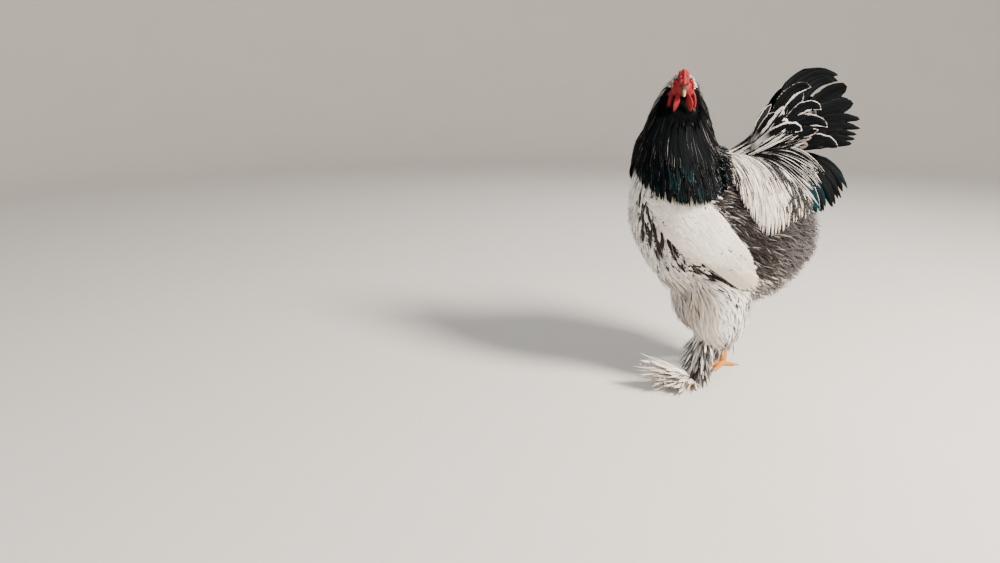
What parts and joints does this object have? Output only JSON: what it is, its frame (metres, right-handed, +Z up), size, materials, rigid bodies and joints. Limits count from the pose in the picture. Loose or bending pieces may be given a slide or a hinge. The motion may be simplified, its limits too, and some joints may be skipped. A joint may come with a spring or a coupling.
{
  "type": "brahma chicken",
  "caption": "Life-size still model of a brahma cock standing with its head turned to one side: low comb, hanging hackle, folded wings, fanned tail and feathered feet.",
  "frame": {"origin": "middle of the bounding box's base, on the floor that the bird stands on", "axes": "+Z up, the body faces -Y and the tail points to +Y, the bird's left side is +X"},
  "size_m": [0.2836, 0.4862, 0.685],
  "materials": {
    "white_plumage": "matte",
    "black_plumage": "satin",
    "grey_down": "matte",
    "red_skin": "satin",
    "horn": "gloss",
    "eye": "gloss",
    "leg_scales": "satin"
  },
  "bodies": {
    "root": {"torso": "white_plumage", "neck": "black_plumage", "saddle": "white_plumage", "tail": "black_plumage", "wing_left": "white_plumage", "wing_right": "white_plumage", "thigh_left": "white_plumage", "thigh_right": "grey_down", "head": "red_skin", "comb": "red_skin", "wattle_left": "red_skin", "wattle_right": "red_skin", "earlobe_left": "red_skin", "earlobe_right": "red_skin", "beak_upper": "horn", "beak_lower": "horn", "eye_left": "eye", "eye_right": "eye", "shank_left": "grey_down", "shank_right": "grey_down", "foot_left": "leg_scales", "foot_right": "leg_scales", "claw_left_1": "horn", "claw_left_2": "horn", "claw_left_3": "horn", "claw_left_4": "horn", "claw_right_1": "horn", "claw_right_2": "horn", "claw_right_3": "horn", "claw_right_4": "horn"}
  },
  "joints": []
}
